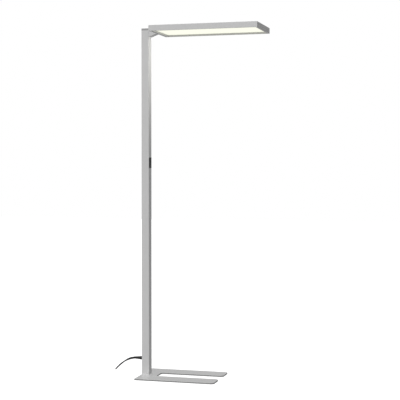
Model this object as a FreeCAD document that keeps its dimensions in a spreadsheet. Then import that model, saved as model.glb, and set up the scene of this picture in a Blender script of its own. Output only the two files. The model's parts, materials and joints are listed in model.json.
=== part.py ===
import FreeCAD, Part
import math
import os
import Sketcher
from FreeCAD import Placement, Rotation, Vector

# Office floor lamp: fork base, square pole, flat light head on a short neck, and a mains lead.
# Millimetres. The origin is on the floor under the pole's axis, +X runs to the head's free end, +Z is up.

SIZES = {
    # base
    "base_back": 22.0, "base_reach": 432.0, "base_width": 322.0, "base_thick": 6.8,
    "slot_start": 72.0, "slot_width": 96.0, "slot_corner": 15.0, "prong_corner": 20.0,
    "back_corner": 8.0, "base_edge": 1.0,
    "pad_radius": 10.0, "pad_proud": 1.2, "pad_sunk": 1.0, "pad_inset": 24.0,
    # pole
    "lamp_height": 1950.0, "pole_depth": 43.0, "pole_width": 48.0, "pole_wall": 2.5,
    "pole_corner": 2.0, "cap_thick": 11.0, "cap_plug": 5.0,
    "foot_height": 60.0, "foot_chamfer": 1.5,
    "base_screw_x": 12.0, "base_screw_y": 14.5, "base_screw_radius": 3.0,
    "base_screw_length": 26.0, "base_head_radius": 6.0, "base_head_depth": 3.2,
    "thread_room": 1.0,
    # cable entry and mains lead
    "gland_height": 95.5, "gland_radius": 10.4, "gland_flange": 5.0, "gland_thread": 6.0,
    "gland_reach": 9.0, "nut_radius": 9.5, "nut_thick": 4.0,
    "relief_length": 52.0, "relief_collar": 12.0, "relief_root": 9.4, "relief_waist": 5.8,
    "relief_tip": 5.0, "relief_step": 0.8, "relief_step_length": 1.5, "relief_round": 0.3,
    "relief_round_length": 1.0, "cord_diameter": 7.0, "cord_lead": 19.5, "sheath_in": 13.0,
    "core_diameter": 2.4, "core_pitch": 2.5, "core_spacing": 8.0,
    # parts on the tray in the pole
    "tray_thick": 1.5, "tray_width": 34.0, "tray_height": 352.0, "tray_foot": 26.0,
    "terminal_up": 72.0, "terminal_height": 24.0, "terminal_depth": 16.0, "terminal_width": 30.0,
    "driver_up": 130.0, "driver_height": 215.0, "driver_depth": 21.0, "driver_width": 30.0,
    "wire_diameter": 2.0, "control_wire_in": 8.0, "control_wire_start": 90.0,
    "control_wire_turn": 50.0, "head_wire_in": 3.0, "head_wire_rise": 120.0,
    "head_wire_cross": 100.0, "head_wire_back": 8.0, "head_wire_bend": 20.0, "head_wire_turn": 4.0,
    "tunnel_wire_up": 6.0, "tunnel_wire_climb": 1.0, "tunnel_wire_run": 28.0,
    "tunnel_wire_drop": 0.5, "head_wire_entry": 8.0,
    # control panel
    "panel_low": 1166.4, "panel_height": 58.6, "panel_width": 41.0, "panel_proud": 1.2,
    "panel_lap": 1.2, "panel_edge": 0.4, "panel_body_depth": 12.5, "panel_wall": 1.5,
    "panel_front": 3.0,
    "key_width": 30.0, "key_height": 22.0, "key_gap": 0.35, "key_proud": 0.9,
    "key_flange": 1.6, "key_lap": 1.2, "key_shift": 0.5, "key_travel": 0.6, "key_stem": 1.4,
    "key_edge": 0.6, "post_radius": 1.5, "pilot_radius": 0.9, "pilot_depth": 5.0,
    "stop_depth": 1.4, "stop_height": 3.0, "stop_inset": 1.5,
    "board_thick": 1.6, "board_hole": 1.1, "board_screw_radius": 0.8, "board_screw_grip": 3.5,
    "board_screw_head": 1.9, "board_screw_head_length": 1.2,
    "switch_side": 6.0, "switch_height": 3.5, "switch_button": 1.0,
    # neck
    "neck_length": 43.0, "neck_drop": 47.0, "tunnel_width": 12.0, "tunnel_low": 28.0,
    "tunnel_high": 5.0, "neck_screw_y": 15.0, "neck_screw_low": 34.0, "neck_screw_high": 18.0,
    "neck_screw_radius": 2.5, "neck_screw_head": 4.2, "neck_screw_head_length": 3.0,
    "neck_screw_grip": 12.0,
    # head
    "head_length": 610.0, "head_width": 319.0, "head_thick": 31.0, "rail_wall": 2.0,
    "lip_width": 10.0, "pole_lip": 18.0, "lip_wall": 3.0, "mitre_over": 1.0, "recess": 10.0,
    "ledge_width": 8.0, "cover_thick": 2.0,
    "diffuser_thick": 2.0, "guide_thick": 4.0, "reflector_thick": 0.5, "optic_gap": 2.8,
    "strip_height": 8.0, "strip_thick": 1.0, "emitter_height": 2.4, "emitter_thick": 0.6,
    "strip_end": 20.0, "key_leg": 30.0, "key_leg_width": 5.4, "key_leg_height": 6.0,
    "cover_screw_radius": 1.5, "cover_screw_head": 2.8, "cover_screw_length": 6.0,
    "cover_screw_sink": 1.5, "cover_screw_inset": 48.8, "strip_wire_radius": 0.4,
    "foam_width": 20.0, "foam_start": 75.0, "foam_spacing": 95.0,
    "connector_start": 36.0, "connector_length": 20.0, "connector_width": 16.0,
    "connector_height": 10.0, "wire_drop": 7.6,
    # put-away lead: hank, tie and plug
    "hank_run": 100.0, "hank_fold": 19.2, "hank_play": 0.5, "hank_approach": 26.0,
    "hank_waist": 9.6, "hank_waist_play": 1.3, "tie_width": 12.0, "tie_thick": 1.2,
    "tail_straight": 26.0, "tail_aside": 7.0, "tail_dip": 1.5, "plug_ahead": 104.0,
    "plug_aside": 22.0, "plug_approach": 25.0,
    "plug_radius": 19.0, "plug_face": 16.0, "plug_grip": 26.0, "plug_grip_radius": 12.0,
    "plug_swell": 1.5, "plug_waist_in": 1.0, "plug_waist_step": 2.0, "plug_waist_end": 8.0,
    "plug_flare": 6.0, "plug_edge": 0.8, "plug_rim": 1.2,
    "plug_tail": 20.0, "plug_tail_radius": 5.0, "plug_tail_swell": 2.5,
    "pin_radius": 2.4, "pin_length": 19.0, "pin_nose": 1.5, "pin_tip_radius": 1.2,
    "pin_seat": 9.5, "pin_socket": 10.0, "pin_spacing": 19.0,
    "earth_width": 5.0, "earth_thick": 0.8, "earth_groove": 2.5, "earth_start": 2.0,
    "earth_hole": 2.6, "earth_hole_depth": 9.0, "earth_hole_up": 9.5,
    # clearances
    "fit": 0.3, "hole_play": 0.1, "air": 0.2,
}

doc = FreeCAD.newDocument("floor_lamp")
sheet = doc.addObject("Spreadsheet::Sheet", "Sizes")
for row, (alias, number) in enumerate(SIZES.items(), start=1):
    sheet.set(f"A{row}", alias)
    sheet.set(f"B{row}", str(number))
    sheet.setAlias(f"B{row}", alias)
doc.recompute()


class Size:
    """A length that knows its number and the sheet formula behind it."""

    def __init__(self, number, formula):
        self.number = number
        self.formula = formula

    @staticmethod
    def of(thing):
        return thing if isinstance(thing, Size) else Size(float(thing), repr(float(thing)))

    def join(self, other, sign, number):
        return Size(number, f"({self.formula} {sign} {other.formula})")

    def __add__(self, other):
        other = Size.of(other)
        return self.join(other, "+", self.number + other.number)

    def __sub__(self, other):
        other = Size.of(other)
        return self.join(other, "-", self.number - other.number)

    def __mul__(self, other):
        other = Size.of(other)
        return self.join(other, "*", self.number * other.number)

    def __truediv__(self, other):
        other = Size.of(other)
        return self.join(other, "/", self.number / other.number)

    def __neg__(self):
        return Size.of(0) - self


class Sheet:
    """The sheet's cells as sizes, by alias."""

    def __getattr__(self, alias):
        return Size(float(sheet.get(alias)), f"Sizes.{alias}")


s = Sheet()
ZERO = Size.of(0)
NODES = []


# ---------------------------------------------------------------- building helpers

def bind(thing, name, size):
    thing.setExpression(name, Size.of(size).formula)


def put(thing, x, y, z):
    for name, size in zip("xyz", (x, y, z)):
        bind(thing, f"Placement.Base.{name}", size)
    return thing


TURNS = {
    "+Z": Rotation(),
    "-Z": Rotation(Vector(1, 0, 0), 180),
    "+X": Rotation(Vector(0, 1, 0), 90),
    "-X": Rotation(Vector(0, 1, 0), -90),
    "+Y": Rotation(Vector(1, 0, 0), -90),
    "-Y": Rotation(Vector(1, 0, 0), 90),
}


def block(x, y, z):
    """A box from the low and high size along each axis."""
    box = doc.addObject("Part::Box", "Block")
    for name, (low, high) in (("Length", x), ("Width", y), ("Height", z)):
        bind(box, name, Size.of(high) - low)
    return put(box, x[0], y[0], z[0])


def rod(radius, length, at, way="+Z"):
    cylinder = doc.addObject("Part::Cylinder", "Rod")
    cylinder.Placement = Placement(Vector(), TURNS[way])
    bind(cylinder, "Radius", radius)
    bind(cylinder, "Height", length)
    return put(cylinder, *at)


def cone(first, last, length, at, way="+Z"):
    frustum = doc.addObject("Part::Cone", "Taper")
    frustum.Placement = Placement(Vector(), TURNS[way])
    bind(frustum, "Radius1", first)
    bind(frustum, "Radius2", last)
    bind(frustum, "Height", length)
    return put(frustum, *at)


def fuse(*solids):
    if len(solids) == 1:
        return solids[0]
    joined = doc.addObject("Part::MultiFuse", "Joined")
    joined.Shapes = list(solids)
    joined.Refine = True
    return joined


def cut(base, *tools):
    left = doc.addObject("Part::Cut", "Cut")
    left.Base = base
    left.Tool = fuse(*tools)
    left.Refine = False
    return left


def group(*solids):
    """Separate solids of one node."""
    together = doc.addObject("Part::Compound", "Group")
    together.Links = list(solids)
    return together


def node(name, thing):
    thing.Label = name
    NODES.append(thing)
    return thing


def body(name):
    return doc.addObject("PartDesign::Body", name)


def plane_of(solid, role):
    return next(o for o in solid.Origin.OriginFeatures if o.Role == role)


def sketch_on(solid, role, start=ZERO):
    drawing = solid.newObject("Sketcher::SketchObject", "Outline")
    drawing.AttachmentSupport = (plane_of(solid, role), [""])
    drawing.MapMode = "FlatFace"
    bind(drawing, "AttachmentOffset.Base.z", start)
    return drawing


def draw(drawing, corners):
    """A closed outline of straight lines through corners, each fixed from the sketch's origin."""
    corners = [(Size.of(x), Size.of(y)) for x, y in corners]
    first = drawing.GeometryCount
    count = len(corners)
    for i, (x, y) in enumerate(corners):
        nx, ny = corners[(i + 1) % count]
        drawing.addGeometry(
            Part.LineSegment(Vector(x.number, y.number, 0), Vector(nx.number, ny.number, 0)))
    for i in range(count):
        drawing.addConstraint(
            Sketcher.Constraint("Coincident", first + i, 2, first + (i + 1) % count, 1))
    for i, (x, y) in enumerate(corners):
        for kind, size in (("DistanceX", x), ("DistanceY", y)):
            index = drawing.addConstraint(
                Sketcher.Constraint(kind, -1, 1, first + i, 1, size.number))
            drawing.setExpression(f"Constraints[{index}]", size.formula)


def pad(solid, drawing, length):
    feature = solid.newObject("PartDesign::Pad", "Pad")
    feature.Profile = drawing
    bind(feature, "Length", length)
    solid.Tip = feature
    return feature


def spin(solid, drawing, role):
    """A full revolution about one of the body's own axes."""
    feature = solid.newObject("PartDesign::Revolution", "Turned")
    feature.Profile = drawing
    feature.ReferenceAxis = (plane_of(solid, role), [""])
    feature.Angle = 360.0
    solid.Tip = feature
    return feature


def edges_where(shape, wanted):
    return [f"Edge{i}" for i, edge in enumerate(shape.Edges, start=1) if wanted(edge)]


def soften(solid, kind, wanted, size):
    """A PartDesign Fillet or Chamfer on the edges of the body that are wanted."""
    doc.recompute()
    base = solid.Tip
    feature = solid.newObject(f"PartDesign::{kind}", kind)
    feature.Base = (base, edges_where(base.Shape, wanted))
    bind(feature, "Radius" if kind == "Fillet" else "Size", size)
    solid.Tip = feature
    return feature


def upright(edge, spots=None):
    """Whether an edge is vertical, at one of the spots in plan if any are given."""
    ends = [v.Point for v in edge.Vertexes]
    if len(ends) != 2 or abs(ends[0].x - ends[1].x) + abs(ends[0].y - ends[1].y) > 1e-4:
        return False
    near = [abs(ends[0].x - x.number) + abs(ends[0].y - y.number) < 1e-3 for x, y in spots or []]
    return spots is None or any(near)


def rounded_bar(name, x, y, z, corner):
    """An upright rectangular bar with rounded or sharp vertical corners, as a body."""
    bar = body(name)
    drawing = sketch_on(bar, "XY_Plane", z[0])
    draw(drawing, [(x[0], y[0]), (x[1], y[0]), (x[1], y[1]), (x[0], y[1])])
    pad(bar, drawing, Size.of(z[1]) - z[0])
    soften(bar, "Fillet", upright, corner)
    return bar


# ---------------------------------------------------------------- places worked out from the sizes

half_depth = s.pole_depth / 2
half_width = s.pole_width / 2
in_depth = half_depth - s.pole_wall
in_width = half_width - s.pole_wall
base_low = s.pad_proud
base_top = s.pad_proud + s.base_thick
half_base = s.base_width / 2
half_slot = s.slot_width / 2
tube_top = s.lamp_height - s.cap_thick
foot_top = base_top + s.foot_height
head_left = half_depth + s.neck_length
head_right = head_left + s.head_length
half_head = s.head_width / 2
head_low = s.lamp_height - s.head_thick
cover_low = s.lamp_height - s.cover_thick
diffuser_low = head_low + s.recess
guide_low = diffuser_low + s.diffuser_thick
reflector_low = guide_low + s.guide_thick
reflector_top = reflector_low + s.reflector_thick
panel_high = s.panel_low + s.panel_height
panel_middle = s.panel_low + s.panel_height / 2
tray_face = in_depth - s.fit - s.tray_thick
cord_radius = s.cord_diameter / 2


# ---------------------------------------------------------------- base

def pad_spots():
    back = s.pad_inset - s.base_back
    front = s.base_reach - s.pad_inset
    middle = (front + back) / 2
    side = half_base - s.pad_inset
    inner = half_slot + s.pad_inset
    return [(ZERO, ZERO), (back, side), (back, -side), (middle, side), (middle, -side),
            (front, side), (front, -side), (front, inner), (front, -inner)]


def base_screw_spots():
    return [(s.base_screw_x * i, s.base_screw_y * j) for i in (-1, 1) for j in (-1, 1)]


def make_base():
    plate = body("Base_plate")
    drawing = sketch_on(plate, "XY_Plane", base_low)
    back, front = -s.base_back, s.base_reach
    corners = [(back, -half_base), (front, -half_base), (front, -half_slot),
               (s.slot_start, -half_slot), (s.slot_start, half_slot), (front, half_slot),
               (front, half_base), (back, half_base)]
    draw(drawing, corners)
    pad(plate, drawing, s.base_thick)
    ends = [corners[i] for i in (1, 2, 5, 6)]
    soften(plate, "Fillet", lambda edge: upright(edge, ends), s.prong_corner)
    soften(plate, "Fillet", lambda edge: upright(edge, corners[3:5]), s.slot_corner)
    soften(plate, "Fillet", lambda edge: upright(edge, [corners[0], corners[7]]), s.back_corner)
    soften(plate, "Chamfer",
           lambda edge: min(v.Point.z for v in edge.Vertexes) > base_top.number - 1e-3, s.base_edge)
    holes = [rod(s.pad_radius + s.hole_play, s.pad_sunk, (x, y, base_low)) for x, y in pad_spots()]
    for x, y in base_screw_spots():
        holes.append(rod(s.base_screw_radius + s.fit, s.base_thick, (x, y, base_low)))
        holes.append(cone(s.base_head_radius + s.fit, s.base_screw_radius + s.fit,
                          s.base_head_depth, (x, y, base_low)))
    node("base_plate", cut(plate, *holes))
    pads = [rod(s.pad_radius, s.pad_proud + s.pad_sunk, (x, y, ZERO)) for x, y in pad_spots()]
    node("base_pads", group(*pads))
    screws = []
    for x, y in base_screw_spots():
        head = cone(s.base_head_radius, s.base_screw_radius, s.base_head_depth,
                    (x, y, base_low + s.air))
        shank = rod(s.base_screw_radius, s.base_screw_length, (x, y, base_low + s.air))
        screws.append(fuse(head, shank))
    node("base_screws", group(*screws))


# ---------------------------------------------------------------- pole

def make_pole():
    outer = rounded_bar("Pole_outer", (-half_depth, half_depth), (-half_width, half_width),
                        (base_top, tube_top), s.pole_corner)
    inner = block((-in_depth, in_depth), (-in_width, in_width), (base_top, tube_top))
    gland_hole = rod(s.gland_thread + s.hole_play, s.pole_wall, (-half_depth, ZERO, s.gland_height),
                     "+X")
    half_window = s.panel_width / 2 - s.panel_lap
    window = block((in_depth, half_depth), (-half_window, half_window),
                   (s.panel_low + s.panel_lap, panel_high - s.panel_lap))
    half_tunnel = s.tunnel_width / 2
    wire_hole = block((in_depth, half_depth), (-half_tunnel, half_tunnel),
                      (s.lamp_height - s.tunnel_low, tube_top - s.cap_plug - s.fit))
    screw_holes = [rod(s.neck_screw_radius + s.hole_play, s.pole_wall,
                       (in_depth, s.neck_screw_y * i, s.lamp_height - drop), "+X")
                   for i in (-1, 1) for drop in (s.neck_screw_low, s.neck_screw_high)]
    node("pole_tube", cut(outer, inner, gland_hole, window, wire_hole, *screw_holes))

    cap = rounded_bar("Cap_plate", (-half_depth, half_depth), (-half_width, half_width),
                      (tube_top, s.lamp_height), s.pole_corner)
    plug_x = in_depth - s.hole_play
    plug_y = in_width - s.hole_play
    plug = block((-plug_x, plug_x), (-plug_y, plug_y), (tube_top - s.cap_plug, tube_top))
    hollow_x = plug_x - s.pole_wall
    hollow_y = plug_y - s.pole_wall
    hollow = block((-hollow_x, hollow_x), (-hollow_y, hollow_y), (tube_top - s.cap_plug, tube_top))
    head_room = block((plug_x - s.pole_wall, plug_x), (-plug_y, plug_y),
                      (tube_top - s.cap_plug, tube_top))
    node("pole_cap", fuse(cap, cut(plug, hollow, head_room)))

    foot_x = in_depth - s.hole_play
    foot_y = in_width - s.hole_play
    foot = body("Foot")
    drawing = sketch_on(foot, "XY_Plane", base_top)
    draw(drawing, [(-foot_x, -foot_y), (foot_x, -foot_y), (foot_x, foot_y), (-foot_x, foot_y)])
    pad(foot, drawing, s.foot_height)
    soften(foot, "Chamfer", upright, s.foot_chamfer)
    threads = [rod(s.base_screw_radius + s.hole_play, s.base_screw_length - s.base_thick + s.thread_room,
                   (x, y, base_top)) for x, y in base_screw_spots()]
    tray_thread = rod(s.neck_screw_radius, s.neck_screw_grip,
                      (tray_face - s.tray_foot / 2, ZERO, foot_top), "-Z")
    node("foot_block", cut(foot, *threads, tray_thread))


# ---------------------------------------------------------------- cable entry

def make_cable_entry():
    back = -half_depth
    height = s.gland_height
    bore_radius = cord_radius + s.hole_play
    thread_length = s.pole_wall + s.gland_reach
    flange = rod(s.gland_radius, s.gland_flange, (back, ZERO, height), "-X")
    thread = rod(s.gland_thread, thread_length, (back, ZERO, height), "+X")
    bore = rod(bore_radius, s.gland_flange + thread_length, (back - s.gland_flange, ZERO, height),
               "+X")
    node("cable_gland", cut(fuse(flange, thread), bore))

    nut = doc.addObject("Part::Prism", "Nut")
    nut.Placement = Placement(Vector(), TURNS["+X"])
    nut.Polygon = 6
    bind(nut, "Circumradius", s.nut_radius)
    bind(nut, "Height", s.nut_thick)
    put(nut, -in_depth, ZERO, height)
    nut_bore = rod(s.gland_thread + s.hole_play, s.nut_thick, (-in_depth, ZERO, height), "+X")
    node("gland_locknut", cut(nut, nut_bore))

    sleeve = body("Sleeve")
    drawing = sketch_on(sleeve, "XZ_Plane")
    root = back - s.gland_flange
    tip = root - s.relief_length
    round_start = tip + s.relief_tip
    draw(drawing, [(root, height + bore_radius), (root, height + s.relief_root),
                   (root - s.relief_collar, height + s.relief_root),
                   (root - s.relief_collar - s.relief_step_length,
                    height + s.relief_root - s.relief_step),
                   (round_start, height + s.relief_waist),
                   (tip + s.relief_round_length, height + s.relief_tip + s.relief_round),
                   (tip, height + s.relief_tip), (tip, height + bore_radius)])
    axis = sketch_on(sleeve, "XZ_Plane")
    axis.addGeometry(Part.LineSegment(Vector(tip.number, height.number, 0),
                                      Vector(root.number, height.number, 0)))
    for place, size in (((0, 1), tip), ((0, 2), root)):
        for kind, value in (("DistanceX", size), ("DistanceY", height)):
            index = axis.addConstraint(Sketcher.Constraint(kind, -1, 1, *place, value.number))
            axis.setExpression(f"Constraints[{index}]", value.formula)
    turned = sleeve.newObject("PartDesign::Revolution", "Turned")
    turned.Profile = drawing
    turned.ReferenceAxis = (axis, ["Edge1"])
    turned.Angle = 360.0
    sleeve.Tip = turned
    node("strain_relief", sleeve)

    sheath_end = back + s.sheath_in
    node("mains_sheath", rod(cord_radius, sheath_end - tip, (tip, ZERO, height), "+X"))
    cores = []
    terminal_low = foot_top + s.terminal_up
    core_x = tray_face - s.terminal_depth / 2
    for i in (-1, 0, 1):
        y = s.core_pitch * i
        side = s.core_spacing * i
        stops = [(sheath_end, y, height), (core_x, y, height),
                 (core_x, side, (height + terminal_low) / 2), (core_x, side, terminal_low)]
        cores.append(tube("Core", points_of(stops), s.core_diameter.number / 2, floor_radius=1.0))
    node("mains_cores", group(*cores))
    return tip


# ---------------------------------------------------------------- tubes along routes

ARC_SHARE = 0.45    # of the shorter run at a corner, on each side of it
STRAIGHT = 1e-6     # radians
MAINS_BEND = 4      # diameters, the tightest bend of the lead


def points_of(stops):
    return [Vector(*(Size.of(v).number for v in stop)) for stop in stops]


def bend_radius(before, corner, after):
    """The largest arc at a corner that leaves each run a straight middle, and the turn in degrees."""
    incoming, outgoing = corner - before, after - corner
    turn = incoming.getAngle(outgoing)
    shorter = min(incoming.Length, outgoing.Length)
    return ARC_SHARE * shorter / math.tan(turn / 2), math.degrees(turn)


def bent_wire(points):
    """Straight runs joined by tangent arcs, and the arcs' radii."""
    edges, radii, start = [], [], points[0]
    for before, corner, after in zip(points, points[1:], points[2:]):
        if (corner - before).getAngle(after - corner) < STRAIGHT:
            continue
        radius, turn = bend_radius(before, corner, after)
        reach = radius * math.tan(math.radians(turn) / 2)
        back = (before - corner).normalize()
        on = (after - corner).normalize()
        enter, leave = corner + back * reach, corner + on * reach
        inward = (back + on).normalize()
        middle = corner + inward * (radius / math.cos(math.radians(turn) / 2) - radius)
        edges.append(Part.LineSegment(start, enter).toShape())
        edges.append(Part.Arc(enter, middle, leave).toShape())
        radii.append(radius)
        start = leave
    edges.append(Part.LineSegment(start, points[-1]).toShape())
    return Part.Wire(edges), radii


def sweep(path, radius):
    first = path.Edges[0]
    start = first.valueAt(first.FirstParameter)
    ring = Part.Wire(Part.Circle(start, first.tangentAt(first.FirstParameter), radius).toShape())
    return path.makePipeShell([ring], True, False)


def tube(name, points, radius, floor_radius):
    path, radii = bent_wire(points)
    solid = doc.addObject("Part::Feature", name)
    solid.Shape = sweep(path, radius)
    expected = math.pi * radius ** 2 * path.Length
    print(f"{name}: length {path.Length:.1f}, least radius {min(radii):.1f} of {floor_radius:.1f},"
          f" volume {solid.Shape.Volume / expected:.4f} of section times length")
    return solid


# ---------------------------------------------------------------- inside the pole

def make_driver():
    tray_low = foot_top
    half_tray = s.tray_width / 2
    wall = block((tray_face, tray_face + s.tray_thick), (-half_tray, half_tray),
                 (tray_low, tray_low + s.tray_height))
    sole = block((tray_face - s.tray_foot, tray_face), (-half_tray, half_tray),
                 (tray_low, tray_low + s.tray_thick))
    screw_at = (tray_face - s.tray_foot / 2, ZERO)
    hole = rod(s.neck_screw_radius + s.hole_play, s.tray_thick, (*screw_at, tray_low))
    node("driver_tray", cut(fuse(wall, sole), hole))
    node("tray_screw", fuse(
        rod(s.neck_screw_head, s.neck_screw_head_length, (*screw_at, tray_low + s.tray_thick)),
        rod(s.neck_screw_radius - s.hole_play, s.neck_screw_grip - s.thread_room,
            (*screw_at, tray_low + s.tray_thick), "-Z")))
    half_terminal = s.terminal_width / 2
    node("terminal_block", block(
        (tray_face - s.terminal_depth, tray_face), (-half_terminal, half_terminal),
        (tray_low + s.terminal_up, tray_low + s.terminal_up + s.terminal_height)))
    half_driver = s.driver_width / 2
    driver_low = tray_low + s.driver_up
    driver_high = driver_low + s.driver_height
    node("led_driver", block((tray_face - s.driver_depth, tray_face), (-half_driver, half_driver),
                             (driver_low, driver_high)))
    feed_x = tray_face - s.terminal_depth / 2
    feeds = [rod(s.wire_diameter / 2, driver_low - tray_low - s.terminal_up - s.terminal_height,
                 (feed_x, s.core_spacing * i, tray_low + s.terminal_up + s.terminal_height))
             for i in (-1, 0, 1)]
    node("driver_feeds", group(*feeds))
    return driver_high


# ---------------------------------------------------------------- control panel

def make_panel(driver_high):
    face = half_depth + s.panel_proud
    half_panel = s.panel_width / 2
    body_half = half_panel - s.panel_lap - s.hole_play
    body_low = s.panel_low + s.panel_lap + s.hole_play
    body_high = panel_high - s.panel_lap - s.hole_play
    rear = half_depth - s.panel_body_depth
    front_back = face - s.panel_front
    frame = rounded_bar("Bezel_face", (half_depth, face), (-half_panel, half_panel),
                        (s.panel_low, panel_high), s.panel_edge)
    box = block((rear, half_depth), (-body_half, body_half), (body_low, body_high))
    inside = block((rear, front_back), (-body_half + s.panel_wall, body_half - s.panel_wall),
                   (body_low + s.panel_wall, body_high - s.panel_wall))
    half_key = s.key_width / 2
    middles = {"key_up": panel_middle + s.panel_height / 4 - s.key_shift,
               "key_down": panel_middle - s.panel_height / 4 + s.key_shift}
    windows = [block((front_back, face), (-half_key, half_key),
                     (z - s.key_height / 2, z + s.key_height / 2)) for z in middles.values()]
    board_face = rear + s.board_thick
    wall_y = body_half - s.panel_wall
    post_y = wall_y - s.post_radius
    posts = [rod(s.post_radius, front_back - board_face, (board_face, post_y * i, panel_middle), "+X")
             for i in (-1, 1)]
    stop_lows = (body_low + s.stop_inset, body_high - s.stop_inset - s.stop_height)
    stops = [block((board_face, front_back), rising((wall_y - s.stop_depth) * i, wall_y * i),
                   (z, z + s.stop_height)) for i in (-1, 1) for z in stop_lows]
    pilot = [rod(s.pilot_radius, s.pilot_depth, (board_face, post_y * i, panel_middle), "+X")
             for i in (-1, 1)]
    node("control_bezel", cut(fuse(cut(fuse(frame, box), inside, *windows), *posts, *stops), *pilot))

    board_y = body_half - s.panel_wall - s.air
    board = block((rear, board_face), (-board_y, board_y),
                  (body_low + s.panel_wall + s.air, body_high - s.panel_wall - s.air))
    board_holes = [rod(s.board_hole, s.board_thick, (rear, post_y * i, panel_middle), "+X")
                   for i in (-1, 1)]
    node("control_board", cut(board, *board_holes))
    node("board_screws", group(*[
        fuse(rod(s.board_screw_head, s.board_screw_head_length, (rear, post_y * i, panel_middle),
                 "-X"),
             rod(s.board_screw_radius, s.board_thick + s.board_screw_grip,
                 (rear, post_y * i, panel_middle), "+X"))
        for i in (-1, 1)]))

    half_switch = s.switch_side / 2
    switches = []
    for z in middles.values():
        case = block((board_face, board_face + s.switch_height), (-half_switch, half_switch),
                     (z - half_switch, z + half_switch))
        plunger = rod(s.switch_side / 4, s.switch_button,
                      (board_face + s.switch_height, ZERO, z), "+X")
        switches.append(fuse(case, plunger))
    node("key_switches", group(*switches))
    switch_top = board_face + s.switch_height + s.switch_button

    for name, z in middles.items():
        flange_front = front_back - s.fit
        flange_back = flange_front - s.key_flange
        y = half_key - s.key_gap
        half_tall = s.key_height / 2 - s.key_gap
        cap = body(name + "_cap")
        drawing = sketch_on(cap, "YZ_Plane", flange_front)
        draw(drawing, [(-y, z - half_tall), (y, z - half_tall), (y, z + half_tall),
                       (-y, z + half_tall)])
        pad(cap, drawing, face + s.key_proud - flange_front)
        outer_face = (face + s.key_proud).number
        soften(cap, "Fillet",
               lambda edge: min(v.Point.x for v in edge.Vertexes) > outer_face - 1e-3, s.key_edge)
        lap_y = half_key - s.key_gap + s.key_lap
        lap_z = s.key_height / 2 - s.key_gap + s.key_lap
        flange = block((flange_back, flange_front), (-lap_y, lap_y), (z - lap_z, z + lap_z))
        stem_end = switch_top + s.key_travel + s.fit
        stem = rod(s.key_stem, flange_back - stem_end, (stem_end, ZERO, z), "+X")
        node(name, fuse(cap, flange, stem))

    start = tray_face - s.control_wire_in
    route = [(start, ZERO, driver_high), (start, ZERO, panel_middle - s.control_wire_start),
             (ZERO, ZERO, panel_middle - s.control_wire_turn), (ZERO, ZERO, panel_middle),
             (rear, ZERO, panel_middle)]
    node("control_wires", tube("Control_wires", points_of(route), s.wire_diameter.number,
                               floor_radius=3.0))


# ---------------------------------------------------------------- neck

def make_neck():
    arm = body("Neck_arm")
    drawing = sketch_on(arm, "XZ_Plane", -half_width)
    draw(drawing, [(half_depth, s.lamp_height - s.neck_drop), (head_left, head_low),
                   (head_left, s.lamp_height), (half_depth, s.lamp_height)])
    pad(arm, drawing, s.pole_width)
    half_tunnel = s.tunnel_width / 2
    tunnel = block((half_depth, head_left), (-half_tunnel, half_tunnel),
                   (s.lamp_height - s.tunnel_low, s.lamp_height - s.tunnel_high))
    thread = s.neck_screw_radius + s.hole_play
    grip = s.neck_screw_grip
    drops = (s.neck_screw_low, s.neck_screw_high)
    pole_side = [(s.neck_screw_y * i, s.lamp_height - drop) for i in (-1, 1) for drop in drops]
    screw_z = cover_low - s.wire_drop
    head_side = [(s.neck_screw_y * i, screw_z) for i in (-1, 1)]
    holes = [rod(thread, grip, (half_depth, y, z), "+X") for y, z in pole_side]
    holes += [rod(thread, grip, (head_left, y, z), "-X") for y, z in head_side]
    node("neck", cut(arm, tunnel, *holes))
    node("neck_screws", group(*[
        fuse(rod(s.neck_screw_head, s.neck_screw_head_length, (in_depth, y, z), "-X"),
             rod(s.neck_screw_radius, s.pole_wall + grip - s.thread_room, (in_depth, y, z), "+X"))
        for y, z in pole_side]))
    inner = head_left + s.rail_wall
    node("head_screws", group(*[
        fuse(rod(s.neck_screw_head, s.neck_screw_head_length, (inner, y, z), "+X"),
             rod(s.neck_screw_radius, s.rail_wall + grip - s.thread_room, (inner, y, z), "-X"))
        for y, z in head_side]))
    return screw_z


# ---------------------------------------------------------------- head

def rail_outline(edge, inward, lip):
    """A rail's section, measured from its outer face towards the head's middle, with its lip."""
    top = s.lamp_height
    ledge_top = cover_low
    ledge_low = cover_low - s.rail_wall
    wall_top = diffuser_low
    lip_back = lip - s.lip_wall
    steps = [(ZERO, head_low), (lip, head_low), (lip, wall_top),
             (lip_back, wall_top), (lip_back, head_low + s.rail_wall),
             (s.rail_wall, head_low + s.rail_wall), (s.rail_wall, ledge_low),
             (s.ledge_width, ledge_low), (s.ledge_width, ledge_top), (s.rail_wall, ledge_top),
             (s.rail_wall, top), (ZERO, top)]
    return [(edge + out * inward, z) for out, z in steps]


def mitre(x, y, way_x, way_y, crosses):
    """What a rail leaves to its neighbour at the head's corner x, y: 45 degrees across the lips.

    The rails that cross the head end square beyond the long rails' narrower lips.
    """
    over, lip, reach = s.mitre_over, s.lip_width, s.pole_lip * 2
    steps = [(-over, -over), (reach, reach), (-over, reach)]
    if crosses:
        steps = [(-over, -over), (lip, lip), (reach, lip), (reach, -over)]
    wedge = body("Mitre")
    drawing = sketch_on(wedge, "XY_Plane", head_low - over)
    draw(drawing, [(x + along * way_x, y + across * way_y) for along, across in steps])
    pad(wedge, drawing, s.head_thick + over * 2)
    return wedge


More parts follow.
